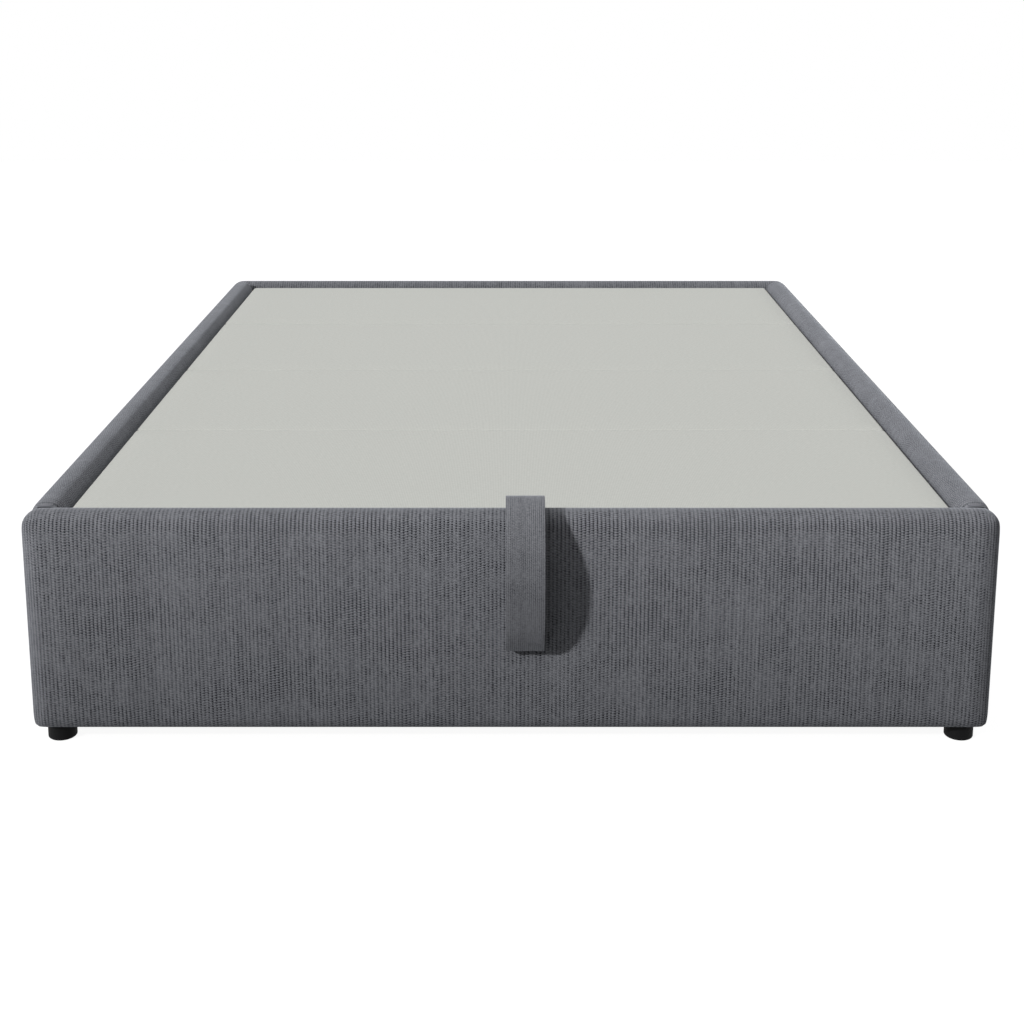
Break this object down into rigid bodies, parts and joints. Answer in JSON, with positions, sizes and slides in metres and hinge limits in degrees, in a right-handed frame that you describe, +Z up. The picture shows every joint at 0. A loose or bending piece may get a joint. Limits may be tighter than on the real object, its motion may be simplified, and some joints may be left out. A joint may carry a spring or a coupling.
{
  "type": "upholstered bed",
  "caption": "Low upholstered storage bed base with padded rails, a lift-up panelled platform on gas struts, a front strap loop and block feet.",
  "frame": {"origin": "on the floor under the middle of the bed, at the middle of the underside of the middle centre foot", "axes": "+Z up, +Y from the foot end to the head end, +X to the right as seen from the foot end"},
  "size_m": [1.67, 2.2505, 0.4523],
  "materials": {
    "rail_fabric": "dark blue-grey ribbed weave",
    "deck_fabric": "light grey fine weave",
    "strap_webbing": "dark blue-grey woven band",
    "foam": "cream upholstery foam, matt",
    "board_wood": "planed pine, matt",
    "plywood": "sanded plywood, matt",
    "tube_paint": "dark grey powder coat",
    "bracket_steel": "zinc plated",
    "fastener_steel": "bright zinc plated",
    "strut_chrome": "ground and plated",
    "strut_paint": "black, half gloss",
    "foot_plastic": "black, matt",
    "bumper_rubber": "black rubber"
  },
  "bodies": {
    "base": {"foot_rail_board": "board_wood", "foot_rail_padding": "foam", "foot_rail_cover": "rail_fabric", "head_rail_board": "board_wood", "head_rail_padding": "foam", "head_rail_cover": "rail_fabric", "left_rail_board": "board_wood", "left_rail_padding": "foam", "left_rail_cover": "rail_fabric", "right_rail_board": "board_wood", "right_rail_padding": "foam", "right_rail_cover": "rail_fabric", "corner_brackets": "bracket_steel", "beam_brackets": "bracket_steel", "base_fasteners": "fastener_steel", "left_ledger": "board_wood", "right_ledger": "board_wood", "rest_bumpers": "bumper_rubber", "floor_battens": "board_wood", "centre_beam": "board_wood", "storage_floor_1": "plywood", "storage_floor_2": "plywood", "left_foot_end_foot": "foot_plastic", "right_foot_end_foot": "foot_plastic", "left_head_end_foot": "foot_plastic", "right_head_end_foot": "foot_plastic", "centre_front_foot": "foot_plastic", "centre_middle_foot": "foot_plastic", "centre_rear_foot": "foot_plastic", "left_hinge_bracket": "bracket_steel", "right_hinge_bracket": "bracket_steel", "left_hinge_bolt": "fastener_steel", "right_hinge_bolt": "fastener_steel", "left_strut_post": "bracket_steel", "right_strut_post": "bracket_steel"},
    "platform": {"left_side_tube": "tube_paint", "right_side_tube": "tube_paint", "cross_tube_1": "tube_paint", "cross_tube_2": "tube_paint", "cross_tube_3": "tube_paint", "cross_tube_4": "tube_paint", "cross_tube_5": "tube_paint", "spine_tubes": "tube_paint", "deck_boards": "plywood", "deck_padding": "foam", "deck_cover_1": "deck_fabric", "deck_cover_2": "deck_fabric", "deck_cover_3": "deck_fabric", "deck_cover_4": "deck_fabric", "platform_fasteners": "fastener_steel", "left_hinge_plate": "tube_paint", "right_hinge_plate": "tube_paint", "left_strut_hanger": "bracket_steel", "right_strut_hanger": "bracket_steel", "lift_strap": "strap_webbing", "strap_clamp": "bracket_steel"},
    "left_strut_rod": {"left_strut_rod": "strut_chrome"},
    "left_strut_cylinder": {"left_strut_cylinder": "strut_paint"},
    "right_strut_rod": {"right_strut_rod": "strut_chrome"},
    "right_strut_cylinder": {"right_strut_cylinder": "strut_paint"}
  },
  "joints": [
    {"name": "platform_hinge", "type": "hinge", "parent": "base", "child": "platform", "pos_m": [0, 0.941, 0.368], "axis": [-1, 0, 0], "range_deg": [0, 40]},
    {"name": "left_strut_swing", "type": "hinge", "parent": "base", "child": "left_strut_rod", "pos_m": [-0.728, 0.941, 0.198], "axis": [-1, 0, 0], "range_deg": [0, 32]},
    {"name": "left_strut_slide", "type": "slide", "parent": "left_strut_rod", "child": "left_strut_cylinder", "axis": [0, -0.9345, 0.356], "range_m": [0, 0.094]},
    {"name": "right_strut_swing", "type": "hinge", "parent": "base", "child": "right_strut_rod", "pos_m": [0.728, 0.941, 0.198], "axis": [-1, 0, 0], "range_deg": [0, 32]},
    {"name": "right_strut_slide", "type": "slide", "parent": "right_strut_rod", "child": "right_strut_cylinder", "axis": [0, -0.9345, 0.356], "range_m": [0, 0.094]}
  ],
  "couplings": [
    {"joint": "left_strut_swing", "follows": "platform_hinge", "ratio": 0.791},
    {"joint": "left_strut_slide", "follows": "platform_hinge", "m_per_rad": 0.1342},
    {"joint": "right_strut_swing", "follows": "platform_hinge", "ratio": 0.791},
    {"joint": "right_strut_slide", "follows": "platform_hinge", "m_per_rad": 0.1342}
  ]
}
